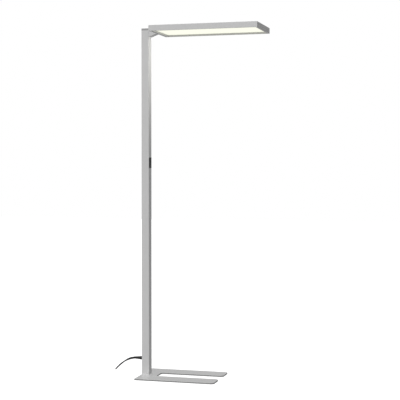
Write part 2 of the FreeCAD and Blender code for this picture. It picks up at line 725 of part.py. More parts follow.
def make_rails(wire_z):
    corners = {(i, j): (head_left if i > 0 else head_right, -half_head if j > 0 else half_head)
               for i in (-1, 1) for j in (-1, 1)}
    holes = [rod(s.cover_screw_radius + s.hole_play, s.rail_wall,
                 (x, y, cover_low - s.rail_wall)) for x, y in cover_screw_spots()]
    for name, edge, j in (("rail_near", -half_head, 1), ("rail_far", half_head, -1)):
        rail = body(name + "_bar")
        drawing = sketch_on(rail, "YZ_Plane", head_left)
        draw(drawing, rail_outline(edge, j, s.lip_width))
        pad(rail, drawing, s.head_length)
        wedges = [mitre(*corners[i, j], i, j, crosses=False) for i in (-1, 1)]
        mine = holes[:COVER_SCREWS] if j > 0 else holes[COVER_SCREWS:]
        node(name, cut(rail, *wedges, *mine))
    for name, edge, i in (("rail_pole_end", head_left, 1), ("rail_free_end", head_right, -1)):
        rail = body(name + "_bar")
        drawing = sketch_on(rail, "XZ_Plane", -half_head)
        draw(drawing, rail_outline(edge, i, s.pole_lip if i > 0 else s.lip_width))
        pad(rail, drawing, s.head_width)
        tools = [mitre(*corners[i, j], i, j, crosses=True) for j in (-1, 1)]
        if i > 0:
            tools.append(rod(s.tunnel_width / 4, s.rail_wall, (head_left, ZERO, wire_z), "+X"))
            tools += [rod(s.neck_screw_radius + s.hole_play, s.rail_wall,
                          (head_left, s.neck_screw_y * k, wire_z), "+X") for k in (-1, 1)]
        node(name, cut(rail, *tools))


COVER_SCREWS = 4    # along each long side


def cover_screw_spots():
    out = (s.rail_wall + s.ledge_width) / 2
    step = (s.head_length - s.cover_screw_inset * 2) / (COVER_SCREWS - 1)
    return [(head_left + s.cover_screw_inset + step * k, (half_head - out) * j)
            for j in (-1, 1) for k in range(COVER_SCREWS)]


def make_head(wire_z):
    make_rails(wire_z)
    side = half_head - s.rail_wall - s.fit
    cover = block((head_left + s.rail_wall + s.fit, head_right - s.rail_wall - s.fit),
                  (-side, side), (cover_low, s.lamp_height))
    sink_low = s.lamp_height - s.cover_screw_sink
    sinks, screws = [], []
    for x, y in cover_screw_spots():
        sinks.append(rod(s.cover_screw_radius + s.hole_play, s.cover_thick, (x, y, cover_low)))
        sinks.append(cone(s.cover_screw_radius + s.hole_play, s.cover_screw_head + s.hole_play,
                          s.cover_screw_sink, (x, y, sink_low)))
        head = cone(s.cover_screw_radius, s.cover_screw_head, s.cover_screw_sink,
                    (x, y, sink_low))
        shank = rod(s.cover_screw_radius, s.cover_screw_length, (x, y, sink_low + s.thread_room),
                    "-Z")
        screws.append(fuse(head, shank))
    node("top_cover", cut(cover, *sinks))
    node("cover_screws", group(*screws))

    edge = s.rail_wall + s.optic_gap
    optic_x = (head_left + edge, head_right - edge)
    optic_y = (edge - half_head, half_head - edge)
    node("diffuser", block(optic_x, optic_y, (diffuser_low, guide_low)))
    node("light_guide", block(optic_x, optic_y, (guide_low, reflector_low)))
    node("reflector_sheet", block(optic_x, optic_y, (reflector_low, reflector_top)))

    strips = []
    for j in (-1, 1):
        outer = (half_head - s.rail_wall) * j
        inner = outer - s.strip_thick * j
        tip = inner - s.emitter_thick * j
        first, last = (outer, inner) if j < 0 else (inner, outer)
        lit_first, lit_last = (inner, tip) if j < 0 else (tip, inner)
        strip_x = (head_left + s.strip_end, head_right - s.strip_end)
        lit_middle = guide_low + s.guide_thick / 2
        strips.append(fuse(
            block(strip_x, (first, last), (diffuser_low, diffuser_low + s.strip_height)),
            block(strip_x, (lit_first, lit_last),
                  (lit_middle - s.emitter_height / 2, lit_middle + s.emitter_height / 2))))
    node("led_strips", group(*strips))

    foam_x = (head_left + s.foam_start, head_right - s.foam_start)
    node("foam_bars", group(*[
        block(foam_x, (s.foam_spacing * k - s.foam_width / 2, s.foam_spacing * k + s.foam_width / 2),
              (reflector_top, cover_low)) for k in (-1, 0, 1)]))
    key_top = cover_low - s.rail_wall - s.air
    key_low = key_top - s.key_leg_height
    keys = []
    for i, x in ((1, head_left), (-1, head_right)):
        for j in (-1, 1):
            near_x = x + (s.rail_wall + s.air) * i
            far_x = near_x + s.key_leg * i
            side_x = near_x + s.key_leg_width * i
            near_y = (half_head - s.rail_wall - s.air) * j
            far_y = near_y - s.key_leg * j
            side_y = near_y - s.key_leg_width * j
            legs = [((near_x, far_x), (side_y, near_y)), ((near_x, side_x), (far_y, near_y))]
            keys.append(fuse(*[block(rising(*px), rising(*py), (key_low, key_top))
                               for px, py in legs]))
    node("corner_keys", group(*keys))

    connector_x = head_left + s.connector_start
    half_connector = s.connector_width / 2
    node("head_connector", block((connector_x, connector_x + s.connector_length),
                                 (-half_connector, half_connector),
                                 (cover_low - s.connector_height, cover_low)))
    wires = []
    strip_y = half_head - s.rail_wall - s.strip_thick / 2
    middle_x = connector_x + s.connector_length / 2
    for j in (-1, 1):
        stops = [(middle_x, half_connector * j, wire_z), (middle_x, strip_y * j, wire_z),
                 (middle_x, strip_y * j, diffuser_low + s.strip_height)]
        wires.append(tube("Strip_wire", points_of(stops), s.strip_wire_radius.number,
                          floor_radius=1.0))
    node("strip_wires", group(*wires))
    return connector_x


def rising(first, last):
    return (first, last) if first.number < last.number else (last, first)


def make_head_wires(driver_high, connector_x, wire_z):
    wires = []
    pole_x = tray_face - s.driver_depth + s.head_wire_in
    tunnel_z = s.lamp_height - s.tunnel_low + s.tunnel_wire_up
    rise = driver_high + s.head_wire_rise
    for j in (-1, 1):
        y = s.wire_diameter * 0.75 * j
        stops = [(pole_x, y * 3, driver_high), (pole_x, y * 3, rise),
                 (-s.head_wire_back, y, rise + s.head_wire_cross),
                 (-s.head_wire_back, y, tunnel_z - s.head_wire_bend),
                 (-s.head_wire_turn, y, tunnel_z),
                 (half_depth, y, tunnel_z + s.tunnel_wire_climb),
                 (half_depth + s.tunnel_wire_run, y, wire_z - s.tunnel_wire_drop),
                 (head_left + s.head_wire_entry, y, wire_z), (connector_x, y, wire_z)]
        wires.append(tube("Head_wire", points_of(stops), s.wire_diameter.number / 2,
                          floor_radius=5.0))
    node("head_wires", group(*wires))


# ---------------------------------------------------------------- the lead outside the lamp

LIE = (cord_radius + s.air).number    # height of the lead's centre line on the floor
# The line, seen from above, that the hank and the plug lie along, and the way across it.
LINE = Vector(0.3171, -0.9484, 0)
ACROSS = Vector(0.9484, 0.3171, 0)
HANK_START = Vector(-166.0, 493.0, (cord_radius + s.tie_thick + s.air * 2).number)

# The lead's route after its first straight out of the strain relief.
LEAD_ROUTE = [
    (-148, 4, 62), (-188, 24, 27), (-212, 68, 10), (-228, 128, 5), (-241, 196, LIE),
    (-252, 265, LIE), (-258, 331, LIE), (-259, 387, LIE), (-253, 431, LIE), (-241, 460, LIE),
    (-221, 476, LIE),
]


def biarc(start, leaving, end, arriving):
    """Two tangent arcs from start to end with the given unit directions, as edges."""
    across = end - start
    both = leaving + arriving
    spread = 2 * (1 - leaving.dot(arriving))
    ahead = across.dot(both)
    if spread < STRAIGHT ** 2:
        arm = across.dot(across) / (2 * ahead)
    else:
        arm = (-ahead + math.sqrt(ahead ** 2 + spread * across.dot(across))) / spread
    first_control, last_control = start + leaving * arm, end - arriving * arm
    joint = (first_control + last_control) * 0.5
    return [arc_by_control(start, first_control, joint), arc_by_control(joint, last_control, end)]


def arc_by_control(start, control, end):
    chord = end - start
    half_turn = (control - start).getAngle(chord)
    if half_turn < STRAIGHT:
        return Part.LineSegment(start, end).toShape()
    middle = (start + end) * 0.5
    rise = math.tan(half_turn / 2) / math.tan(half_turn)
    return Part.Arc(start, middle + (control - middle) * rise, end).toShape()


CLIMBS = (1.25, 2.25, 3.25)    # the turns, counted from the hank's start, where it climbs a layer
HANK_TURNS = 4.375
FOLD_TURNS = 1.125             # how many turns in the tightest fold lies
STATIONS = 8                   # to a turn
hank_pitch = s.cord_diameter + s.hank_play
hank_waist_pitch = s.cord_diameter + s.hank_waist_play


def hank_depth(turns):
    """How many turns in from the outside the lead lies after so many turns."""
    depth, done = 0.0, 0.0
    inward = 1
    for climb in (*CLIMBS, HANK_TURNS):
        step = min(turns, climb) - done
        if step <= 0:
            break
        depth += inward * step
        done += step
        inward = -inward
    return depth


def hank_stations():
    """Points and directions along the hank, eight to a turn, in its own plane and height."""
    pitch = hank_pitch.number
    outer = s.hank_fold.number + FOLD_TURNS * pitch
    half_run = s.hank_run.number / 2
    middle = half_run + outer
    stations = []
    for k in range(round(HANK_TURNS * STATIONS) + 1):
        turns = k / STATIONS
        depth = hank_depth(turns)
        fold = outer - pitch * depth
        waist = s.hank_waist.number + hank_waist_pitch.number * (CLIMBS[0] - depth)
        layer = sum(turns > climb for climb in CLIMBS) + 0.5 * (turns in CLIMBS)
        along, side, heading = [
            (middle - half_run - fold, 0.0, (0, 1)), (middle - half_run, fold, (1, 0)),
            (middle, waist, (1, 0)), (middle + half_run, fold, (1, 0)),
            (middle + half_run + fold, 0.0, (0, -1)), (middle + half_run, -fold, (-1, 0)),
            (middle, -waist, (-1, 0)), (middle - half_run, -fold, (-1, 0))][k % STATIONS]
        place = HANK_START + LINE * along + ACROSS * side
        place.z += layer * pitch
        rise = pitch / half_run if turns in CLIMBS else 0.0
        direction = LINE * heading[0] + ACROSS * heading[1] + Vector(0, 0, rise)
        stations.append((place, direction.normalize()))
    return stations


def least_gap(path, diameter):
    """The least gap of a wound tube to itself, from points along its centre line."""
    spacing = diameter / 3
    points = path.discretize(Distance=spacing)
    skip = round(4 * diameter / spacing)
    least = path.Length
    for i, point in enumerate(points):
        for other in points[i + skip:]:
            if abs(point.z - other.z) < least and point.distanceToPoint(other) < least:
                least = point.distanceToPoint(other)
    return least - diameter


def make_lead(tip):
    radius = cord_radius.number
    diameter = s.cord_diameter.number
    stations = hank_stations()
    edges = []
    for (start, leaving), (end, arriving) in zip(stations, stations[1:]):
        edges += biarc(start, leaving, end, arriving)
    first, heading = stations[0]
    last, leaving = stations[-1]
    entry = first - heading * diameter
    out = last + leaving * diameter
    path = Part.Wire([Part.LineSegment(entry, first).toShape(), *edges,
                      Part.LineSegment(last, out).toShape()])
    print(f"hank: length {path.Length:.1f}, least gap to itself {least_gap(path, diameter):.2f}")
    hank = doc.addObject("Part::Feature", "Hank")
    hank.Shape = sweep(path, radius)
    node("cord_hank", hank)

    exit_point = Vector(tip.number, 0, s.gland_height.number)
    route = [exit_point, exit_point - Vector(s.cord_lead.number, 0, 0),
             *[Vector(*stop) for stop in LEAD_ROUTE],
             entry - heading * s.hank_approach.number, entry]
    print("lead radii", [round(r) for r in bent_wire(route)[1]])
    node("mains_cord", tube("Lead", route, radius, floor_radius=MAINS_BEND * diameter))

    plug_back = out + LINE * s.plug_ahead.number - ACROSS * s.plug_aside.number
    plug_back.z = (s.plug_radius + s.air).number
    straight = LINE * s.tail_straight.number
    tail = [out, out + straight,
            out + straight * 2 - ACROSS * s.tail_aside.number - Vector(0, 0, s.tail_dip.number),
            plug_back - LINE * s.plug_approach.number, plug_back]
    print("tail radii", [round(r) for r in bent_wire(tail)[1]])
    node("cord_tail", tube("Tail", tail, radius, floor_radius=MAINS_BEND * diameter))
    make_tie()
    make_plug(plug_back)


def make_tie():
    """A flat band round the hank's waist."""
    radius = cord_radius.number
    play = s.air.number * 2
    right = s.hank_waist.number + hank_waist_pitch.number + radius + play
    left = s.hank_waist.number + hank_waist_pitch.number / 2 + radius + play
    low = HANK_START.z - radius - s.air.number
    high = HANK_START.z + len(CLIMBS) * hank_pitch.number + radius + s.air.number
    thick = s.tie_thick.number
    width = s.tie_width.number
    middle = s.hank_run.number / 2 + s.hank_fold.number + FOLD_TURNS * hank_pitch.number
    length = left + right
    outer = Part.makeBox(width, length + 2 * thick, high - low + 2 * thick)
    outer = outer.makeFillet(thick * 1.5, [e for e in outer.Edges
                                           if abs(e.Vertexes[0].Y - e.Vertexes[1].Y) < 1e-6
                                           and abs(e.Vertexes[0].Z - e.Vertexes[1].Z) < 1e-6])
    inner = Part.makeBox(width, length, high - low, Vector(0, thick, thick))
    band = doc.addObject("Part::Feature", "Band")
    band.Shape = outer.cut(inner)
    corner = (Vector(HANK_START.x, HANK_START.y, 0) + LINE * (middle - width / 2)
              - ACROSS * (left + thick))
    corner.z = low - thick
    yaw = math.degrees(math.atan2(LINE.y, LINE.x))
    band.Placement = Placement(corner, Rotation(Vector(0, 0, 1), yaw))
    node("cord_tie", band)


def make_plug(back):
    """A round mains plug that lies on the floor, its pins pointing along the line."""
    yaw = math.degrees(math.atan2(LINE.y, LINE.x))
    place = Placement(back, Rotation(Vector(0, 0, 1), yaw))
    face_start = s.plug_tail + s.plug_grip
    face_end = face_start + s.plug_face
    shell = body("Plug_shell")
    drawing = sketch_on(shell, "XZ_Plane")
    edge_radius = s.plug_radius - s.plug_edge
    draw(drawing, [(ZERO, ZERO), (ZERO, s.plug_tail_radius),
                   (s.plug_tail, s.plug_tail_radius + s.plug_tail_swell),
                   (s.plug_tail + s.plug_waist_step, s.plug_grip_radius - s.plug_waist_in),
                   (s.plug_tail + s.plug_waist_end, s.plug_grip_radius),
                   (face_start - s.plug_flare, s.plug_grip_radius + s.plug_swell),
                   (face_start, edge_radius), (face_start + s.plug_rim, s.plug_radius),
                   (face_end - s.plug_edge, s.plug_radius), (face_end, edge_radius),
                   (face_end, ZERO)])
    spin(shell, drawing, "X_Axis")
    half_spacing = s.pin_spacing / 2
    sockets = [rod(s.pin_radius + s.hole_play, s.pin_socket,
                   (face_end - s.pin_socket, half_spacing * j, ZERO), "+X") for j in (-1, 1)]
    half_earth = s.earth_width / 2
    floor = s.plug_radius - s.earth_groove
    grooves = [block((face_start + s.earth_start, face_end),
                     (-half_earth - s.air, half_earth + s.air),
                     rising(floor * k, s.plug_radius * k)) for k in (-1, 1)]
    earth_socket = rod(s.earth_hole, s.earth_hole_depth,
                       (face_end - s.earth_hole_depth, ZERO, s.earth_hole_up), "+X")
    plug = node("plug_body", cut(shell, *sockets, *grooves, earth_socket))
    pin_straight = s.pin_length - s.pin_nose
    pins = []
    for j in (-1, 1):
        pin = rod(s.pin_radius, pin_straight + s.pin_seat,
                  (face_end - s.pin_seat, half_spacing * j, ZERO), "+X")
        nose = cone(s.pin_radius, s.pin_tip_radius, s.pin_nose,
                    (face_end + pin_straight, half_spacing * j, ZERO), "+X")
        pins.append(fuse(pin, nose))
    pins = node("plug_pins", group(*pins))
    strip_low = floor + s.hole_play
    strips = node("plug_earth_strips", group(*[
        block((face_start + s.earth_start + s.air, face_end), (-half_earth, half_earth),
              rising(strip_low * k, (strip_low + s.earth_thick) * k)) for k in (-1, 1)]))
    for piece in (plug, pins, strips):
        piece.Placement = place


# ---------------------------------------------------------------- build, check and write

def main():
    make_base()
    make_pole()
    tip = make_cable_entry()
    driver_high = make_driver()
    make_panel(driver_high)
    wire_z = make_neck()
    connector_x = make_head(wire_z)
    make_head_wires(driver_high, connector_x, wire_z)
    make_lead(tip)
    doc.recompute()
    for thing in doc.Objects:
        if {"Invalid", "Error"} & set(thing.State):
            raise RuntimeError(f"{thing.Label} ({thing.Name}) failed: {thing.State}")
    os.makedirs("parts", exist_ok=True)
    for thing in NODES:
        shape = thing.Shape
        if shape.isNull() or not shape.isValid() or not shape.Solids:
            raise RuntimeError(f"{thing.Label} has no valid solid")
        box = shape.BoundBox
        print(f"{thing.Label}: {len(shape.Solids)} solids, {shape.Volume:.0f} mm3, "
              f"x {box.XMin:.1f} {box.XMax:.1f} y {box.YMin:.1f} {box.YMax:.1f} "
              f"z {box.ZMin:.1f} {box.ZMax:.1f}")
    for thing in NODES:
        thing.Shape.exportStep(f"parts/{thing.Label}.step")
    print(len(NODES), "nodes")


main()
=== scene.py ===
import json
import math

import bpy
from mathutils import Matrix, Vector


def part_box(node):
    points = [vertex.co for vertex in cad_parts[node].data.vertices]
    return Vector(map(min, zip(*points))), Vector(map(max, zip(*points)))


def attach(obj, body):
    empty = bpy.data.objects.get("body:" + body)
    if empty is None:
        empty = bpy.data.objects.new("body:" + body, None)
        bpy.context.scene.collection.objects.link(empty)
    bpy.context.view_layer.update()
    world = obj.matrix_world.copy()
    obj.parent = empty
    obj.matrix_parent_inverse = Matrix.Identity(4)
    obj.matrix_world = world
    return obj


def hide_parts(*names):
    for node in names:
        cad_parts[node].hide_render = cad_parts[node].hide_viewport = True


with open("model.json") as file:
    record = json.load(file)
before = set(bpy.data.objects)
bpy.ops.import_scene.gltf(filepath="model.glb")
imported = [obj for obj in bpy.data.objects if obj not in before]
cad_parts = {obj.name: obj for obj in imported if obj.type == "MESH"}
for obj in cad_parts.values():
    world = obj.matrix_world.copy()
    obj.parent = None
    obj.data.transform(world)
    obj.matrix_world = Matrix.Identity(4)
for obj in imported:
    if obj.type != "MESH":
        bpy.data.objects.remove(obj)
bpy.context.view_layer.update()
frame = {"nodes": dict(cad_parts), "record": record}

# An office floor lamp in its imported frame: camera, mains lead, finishes, light and floor.
# Metres in the frame's own axes, apart from the lead's route, which is in millimetres.

NODES = frame["nodes"]
ROOT = "lamp"
MM = 0.001


# ---------------------------------------------------------------- camera

PHOTO_SIDE = 400            # pixels, both ways
FOCAL_PIXELS = 1086.3
HORIZON_ROW = 162.66
MIDDLE_COLUMN = 200.1       # where the line of sight meets the picture
EYE = (1.943, -5.813, 1.196)
HEADING = 15.66             # degrees to the left of +Y
ROLL = 0.07                 # degrees, clockwise from behind the camera
SENSOR = 36.0
NEAREST, FARTHEST = 0.1, 60.0


def make_camera():
    """The photograph's camera: level but for a slight roll, with the horizon on its own row."""
    data = bpy.data.cameras.new("Camera")
    data.sensor_width = SENSOR
    data.lens = SENSOR * FOCAL_PIXELS / PHOTO_SIDE
    data.shift_x = (PHOTO_SIDE / 2 - MIDDLE_COLUMN) / PHOTO_SIDE
    data.shift_y = (HORIZON_ROW - PHOTO_SIDE / 2) / PHOTO_SIDE
    data.clip_start = NEAREST
    data.clip_end = FARTHEST
    camera = bpy.data.objects.new("Camera", data)
    camera.location = EYE
    camera.rotation_euler = (math.radians(90), math.radians(ROLL), math.radians(HEADING))
    bpy.context.scene.collection.objects.link(camera)
    bpy.context.scene.camera = camera


# ---------------------------------------------------------------- mains lead (millimetres)

CORD = 7.0
LIE = 3.7                                # height of the lead's middle where it lies on the floor
LINE = Vector((0.3171, -0.9484, 0))      # the line of sight behind the pole
ACROSS = Vector((0.9484, 0.3171, 0))
LEAD_ROUTE = [
    (-78.5, 0, 95.5), (-98, 0, 95.5), (-148, 4, 62), (-188, 24, 27), (-212, 68, 10),
    (-228, 128, 5), (-241, 196, LIE), (-252, 265, LIE), (-258, 331, LIE), (-259, 387, LIE),
    (-253, 431, LIE), (-241, 460, LIE), (-221, 476, LIE),
]
HANK_START = Vector((-166.0, 493.0, 5.1))
HANK_APPROACH = 26.0
HANK_RUN, HANK_FOLD, HANK_PITCH = 100.0, 19.2, 7.5
HANK_WAIST, HANK_WAIST_PITCH = 9.6, 8.3
HANK_TURNS = 4.375
CLIMBS = (1.25, 2.25, 3.25)              # the turns at which the lead climbs a layer and turns back
FOLD_TURNS = 1.125                       # how many turns in the tightest fold lies
POINTS_PER_TURN = 32
TAIL_STRAIGHT, TAIL_ASIDE, TAIL_DIP = 26.0, 7.0, 1.5
PLUG_AHEAD, PLUG_ASIDE, PLUG_APPROACH, PLUG_HEIGHT = 104.0, 22.0, 25.0, 19.2


def hank_depth(turns):
    """How many turns in from the outside the lead lies after so many turns."""
    depth, done, inward = 0.0, 0.0, 1
    for climb in (*CLIMBS, HANK_TURNS):
        step = min(turns, climb) - done
        if step <= 0:
            break
        depth += inward * step
        done += step
        inward = -inward
    return depth


def eased(share):
    return 0.5 - 0.5 * math.cos(math.pi * share)


def hank_point(turns):
    """A point of the tied hank: two folds a turn, with runs drawn in at the waist."""
    outer = HANK_FOLD + FOLD_TURNS * HANK_PITCH
    depth = hank_depth(turns)
    fold = outer - HANK_PITCH * depth
    waist = HANK_WAIST + HANK_WAIST_PITCH * (CLIMBS[0] - depth)
    half_run = HANK_RUN / 2
    middle = half_run + outer
    part = turns % 1.0 * 8               # eighths of a turn: each fold and each run takes two
    side = 1 if part < 4 else -1
    from_fold = min(part, 8 - part, abs(4 - part))
    if from_fold < 1:
        end = 1 if 2 < part < 6 else -1
        angle = math.pi / 2 * from_fold
        along = middle + end * (half_run + fold * math.cos(angle))
        off = fold * math.sin(angle)
    else:
        run_share = (part - 1 if part < 4 else part - 5) / 2
        along = middle + side * HANK_RUN * (run_share - 0.5)
        off = waist + (fold - waist) * eased(abs(run_share - 0.5) * 2)
    layer = sum(eased(min(max((turns - climb) * 4 + 0.5, 0), 1)) for climb in CLIMBS)
    place = HANK_START + LINE * along + ACROSS * side * off
    place.z += layer * HANK_PITCH
    return place


def lead_points():
    """The whole lead, in metres: down to the floor and round, the hank, and the tail to the plug."""
    entry = hank_point(0) - ACROSS * CORD
    points = [Vector(p) for p in LEAD_ROUTE] + [entry - ACROSS * HANK_APPROACH, entry]
    steps = round(HANK_TURNS * POINTS_PER_TURN)
    points += [hank_point(step / POINTS_PER_TURN) for step in range(steps + 1)]
    out = points[-1] + LINE * CORD
    straight = out + LINE * TAIL_STRAIGHT
    turned = straight + LINE * TAIL_STRAIGHT - ACROSS * TAIL_ASIDE - Vector((0, 0, TAIL_DIP))
    plug_back = out + LINE * PLUG_AHEAD - ACROSS * PLUG_ASIDE
    plug_back.z = PLUG_HEIGHT
    points += [out, straight, turned, plug_back - LINE * PLUG_APPROACH, plug_back]
    return [p * MM for p in points]


def make_lead():
    """One round curve in place of the lead's CAD solids, with its tie and plug on it."""
    points = lead_points()
    curve = bpy.data.curves.new("mains_lead", "CURVE")
    curve.dimensions = "3D"
    curve.bevel_depth = 1.0    # times each point's radius, which the curve's box takes in
    curve.bevel_resolution = 5
    curve.resolution_u = 6
    curve.use_fill_caps = True
    spline = curve.splines.new("NURBS")
    spline.points.add(len(points) - 1)
    for point, place in zip(spline.points, points):
        point.co = (*place, 1)
        point.radius = CORD * MM / 2
    spline.order_u = 3
    spline.use_endpoint_u = True
    lead = bpy.data.objects.new("mains_lead", curve)
    bpy.context.scene.collection.objects.link(lead)
    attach(lead, ROOT)
    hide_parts("mains_cord", "cord_hank", "cord_tail")
    return lead


# ---------------------------------------------------------------- materials

def grey(value, warmth=0.0):
    return (value * (1 + warmth), value, value * (1 - warmth))


def dress(piece, material):
    piece.data.materials.clear()
    piece.data.materials.append(material)


class Finish:
    """A node material around one Principled shader, with helpers for its textures."""

    def __init__(self, name, roughness, metallic=0.0, specular=0.5):
        self.material = bpy.data.materials.new(name)
        self.material.use_nodes = True
        self.tree = self.material.node_tree
        self.shader = self.tree.nodes["Principled BSDF"]
        self.shader.inputs["Roughness"].default_value = roughness
        self.shader.inputs["Metallic"].default_value = metallic
        self.shader.inputs["Specular IOR Level"].default_value = specular
        self.place = self.add("ShaderNodeTexCoord").outputs["Object"]

    def add(self, kind, **settings):
        """A new node, with each setting put on the node itself or on the input of that name."""
        made = self.tree.nodes.new(kind)
        for name, value in settings.items():
            if hasattr(made, name):
                setattr(made, name, value)
            else:
                made.inputs[name.replace("_", " ")].default_value = value
        return made

    def link(self, source, target):
        self.tree.links.new(source, target)

    def noise(self, scale, detail=2.0, roughness=0.5, stretch=None):
        texture = self.add("ShaderNodeTexNoise", Scale=scale, Detail=detail, Roughness=roughness)
        place = self.place
        if stretch:
            mapping = self.add("ShaderNodeMapping", Scale=stretch)
            self.link(place, mapping.inputs["Vector"])
            place = mapping.outputs["Vector"]
        self.link(place, texture.inputs["Vector"])
        return texture.outputs["Fac"]

    def between(self, source, low, high, start=0.3, stop=0.7):
        """The source's values from start to stop, spread from low to high."""
        spread = self.add("ShaderNodeMapRange", From_Min=start, From_Max=stop, To_Min=low,
                          To_Max=high)
        self.link(source, spread.inputs["Value"])
        return spread.outputs["Result"]

    def distance(self, source, centre=0.0):
        """How far the source's value is from the centre."""
        off = self.add("ShaderNodeMath", operation="SUBTRACT")
        off.inputs[1].default_value = centre
        self.link(source, off.inputs[0])
        distance = self.add("ShaderNodeMath", operation="ABSOLUTE")
        self.link(off.outputs[0], distance.inputs[0])
        return distance.outputs[0]

    def parts(self, vector):
        split = self.add("ShaderNodeSeparateXYZ")
        self.link(vector, split.inputs["Vector"])
        return split.outputs

    def colour(self, source, first, second, start=0.3, stop=0.7):
        ramp = self.add("ShaderNodeValToRGB")
        for element, position, value in zip(ramp.color_ramp.elements, (start, stop),
                                            (first, second)):
            element.position = position
            element.color = (*value, 1)
        self.link(source, ramp.inputs["Fac"])
        return ramp.outputs["Color"]

    def join(self, first, second, share, blend="MIX"):
        mix = self.add("ShaderNodeMix", data_type="RGBA", blend_type=blend)
        factor, one, other = mix.inputs[0], mix.inputs[6], mix.inputs[7]
        factor.default_value = share
        self.link(first, one)
        self.link(second, other)
        return mix.outputs[2]

    def halved(self, first, second):
        return self.join(first, second, 0.5)

    def times(self, colour, level):
        return self.join(colour, level, 1.0, blend="MULTIPLY")

    def bump(self, *heights, rounding=0.0):
        """Bumps from (source, strength, depth in metres), over edges eased by rounding."""
        normal = None
        if rounding:
            bevel = self.add("ShaderNodeBevel", samples=4, Radius=rounding)
            normal = bevel.outputs["Normal"]
        for source, strength, depth in heights:
            relief = self.add("ShaderNodeBump", Strength=strength, Distance=depth)
            self.link(source, relief.inputs["Height"])
            if normal:
                self.link(normal, relief.inputs["Normal"])
            normal = relief.outputs["Normal"]
        self.link(normal, self.shader.inputs["Normal"])

    def paint(self, colour, roughness=None):
        self.link(colour, self.shader.inputs["Base Color"])
        if roughness:
            self.link(roughness, self.shader.inputs["Roughness"])
        return self.material


def powder_coat(name, tone, grain=1500.0, flake=0.05, painted_side_shade=None):
    """Silver-grey powder coat with a faint metal flake and, if asked, painted shade that darkens its
    upright faces.
    """
    finish = Finish(name, roughness=0.45, metallic=0.25)
    flakes = finish.noise(grain * 3, detail=1.0)
    clouds = finish.noise(scale=9.0, detail=3.0)
    texture = finish.noise(grain, detail=2.0)
    fine = finish.colour(flakes, grey(tone * (1 - flake)), grey(tone * (1 + flake)),
                         start=0.35, stop=0.65)
    broad = finish.colour(clouds, grey(tone * 0.975), grey(tone * 1.02))
    coat = finish.halved(fine, broad)
    # Painted shade: upright faces are darkened by which way they face, standing in for the lower
    # light that falls on them.
    if painted_side_shade is not None:
        facing = finish.add("ShaderNodeNewGeometry").outputs["Normal"]
        flatness = finish.distance(finish.parts(facing)["Z"])
        coat = finish.times(coat, finish.between(flatness, painted_side_shade, 1.0, start=0.3, stop=0.9))
    finish.bump((texture, 0.35, 0.00006), (clouds, 0.05, 0.0004), rounding=0.0005)
    return finish.paint(coat, finish.between(texture, 0.38, 0.52))


def moulded(name, tone, roughness, grain=2200.0, depth=0.00003, warmth=0.0):
    """Moulded plastic with a fine spark-eroded grain."""
    finish = Finish(name, roughness=roughness, specular=0.35)
    texture = finish.noise(grain, detail=3.0, roughness=0.6)
    scuffs = finish.noise(scale=60.0, detail=4.0, roughness=0.7)
    base = finish.colour(scuffs, grey(tone * 0.88, warmth), grey(tone * 1.12, warmth))
    finish.bump((texture, 0.5, depth), rounding=0.0003)
    return finish.paint(base, finish.between(scuffs, roughness - 0.07, roughness + 0.07))


def jacket(name):
    """Soft black lead jacket: satin, with faint pores and dust."""
    finish = Finish(name, roughness=0.48, specular=0.3)
    dust = finish.noise(scale=140.0, detail=5.0, roughness=0.65)
    pores = finish.noise(scale=3000.0, detail=1.0)
    base = finish.colour(dust, grey(0.007), grey(0.016), start=0.35, stop=0.75)
    finish.bump((pores, 0.3, 0.00002), (dust, 0.25, 0.00008))
    return finish.paint(base, finish.between(dust, 0.40, 0.58))


def metal(name, tone, roughness, stretch=(1, 1, 40), warmth=0.0):
    """Bare or plated metal with drawn lines."""
    finish = Finish(name, roughness=roughness, metallic=1.0)
    lines = finish.noise(scale=240.0, detail=4.0, roughness=0.6, stretch=stretch)
    stain = finish.noise(scale=25.0, detail=3.0)
    drawn = finish.colour(lines, grey(tone * 0.9, warmth), grey(tone, warmth))
    stained = finish.colour(stain, grey(tone * 0.93, warmth), grey(tone * 1.03, warmth))
    finish.bump((lines, 0.15, 0.00003), rounding=0.0002)
    return finish.paint(finish.halved(drawn, stained),
                        finish.between(lines, roughness - 0.08, roughness + 0.08))


def opal_panel(name, edge_band=0.05, edge_level=0.965):
    """Satin opal sheet, lit warm white from behind, a touch dimmer towards its edges."""
    finish = Finish(name, roughness=0.35, specular=0.1)
    low, high = (Vector(c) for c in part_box("diffuser"))
    middle, half = (low + high) / 2, (high - low) / 2
    place = finish.parts(finish.place)
    dips = [finish.between(finish.distance(place[axis], centre), 1.0, edge_level,
                           start=reach - edge_band, stop=reach)
            for axis, centre, reach in (("X", middle.x, half.x), ("Y", middle.y, half.y))]
    mottle = finish.noise(scale=40.0, detail=3.0)
    glow = finish.colour(mottle, (0.905, 0.912, 0.775), (0.915, 0.920, 0.790))
    for dip in dips:
        glow = finish.times(glow, dip)
    finish.link(glow, finish.shader.inputs["Emission Color"])
    finish.shader.inputs["Emission Strength"].default_value = 1.0
    satin = finish.noise(scale=2500.0, detail=2.0)
    finish.bump((satin, 0.3, 0.00002))
    return finish.paint(finish.colour(mottle, grey(0.05), grey(0.06)))


def clear_sheet(name):
    """Clear acrylic with a pattern of fine dots."""
    finish = Finish(name, roughness=0.1)
    finish.shader.inputs["Transmission Weight"].default_value = 1.0
    dots = finish.noise(scale=900.0, detail=1.0)
    finish.bump((dots, 0.4, 0.0001))
    return finish.paint(finish.colour(dots, (0.86, 0.90, 0.90), (0.92, 0.95, 0.95)))


